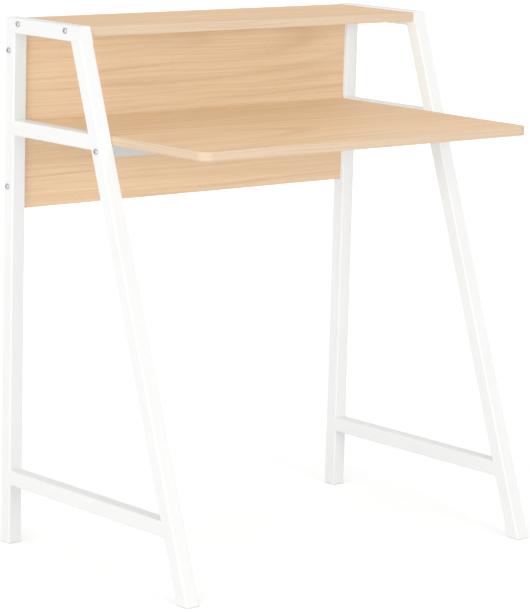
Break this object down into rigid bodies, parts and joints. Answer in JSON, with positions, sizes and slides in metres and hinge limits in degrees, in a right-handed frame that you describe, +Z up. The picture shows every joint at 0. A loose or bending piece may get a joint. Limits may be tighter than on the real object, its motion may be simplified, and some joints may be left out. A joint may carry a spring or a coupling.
{
  "type": "writing desk with raised shelf",
  "caption": "Writing desk with a rounded desktop, a raised shelf and a back panel, carried between side frames of square tube with slanted front legs.",
  "frame": {"origin": "on the floor at the middle of the footprint", "axes": "+Z up, +X along the desk's width to the sitter's right, +Y from the sitter towards the back panel"},
  "size_m": [0.8106, 0.535, 0.94],
  "materials": {
    "white_frame": "white powder coat, satin with a fine orange peel",
    "oak_face": "light oak effect melamine on chipboard, fine grain along the width, matt",
    "oak_edge": "light oak effect edge band, slightly paler than the faces, matt",
    "zinc_bolt": "bright zinc plated steel",
    "zinc_nut": "bright zinc plated steel",
    "zinc_screw": "bright zinc plated steel",
    "foot_plastic": "pale grey moulded plastic, fine grain"
  },
  "bodies": {
    "root": {"left_rear_leg": "white_frame", "left_front_leg": "white_frame", "left_top_rail": "white_frame", "left_desk_rail": "white_frame", "left_stretcher": "white_frame", "left_rail_end_plates": "white_frame", "left_desk_tabs": "white_frame", "left_rear_foot": "foot_plastic", "left_front_foot": "foot_plastic", "right_rear_leg": "white_frame", "right_front_leg": "white_frame", "right_top_rail": "white_frame", "right_desk_rail": "white_frame", "right_stretcher": "white_frame", "right_rail_end_plates": "white_frame", "right_desk_tabs": "white_frame", "right_rear_foot": "foot_plastic", "right_front_foot": "foot_plastic", "crossbar": "white_frame", "desktop": "oak_face", "top_shelf": "oak_face", "back_panel": "oak_face", "desktop_edge_band": "oak_edge", "top_shelf_edge_band": "oak_edge", "back_panel_edge_band": "oak_edge", "shelf_bolts": "zinc_bolt", "back_panel_bolts": "zinc_bolt", "crossbar_bolts": "zinc_bolt", "shelf_barrel_nuts": "zinc_nut", "back_panel_barrel_nuts": "zinc_nut", "crossbar_plugs": "zinc_nut", "tab_screws": "zinc_screw", "crossbar_screws": "zinc_screw"}
  },
  "joints": []
}
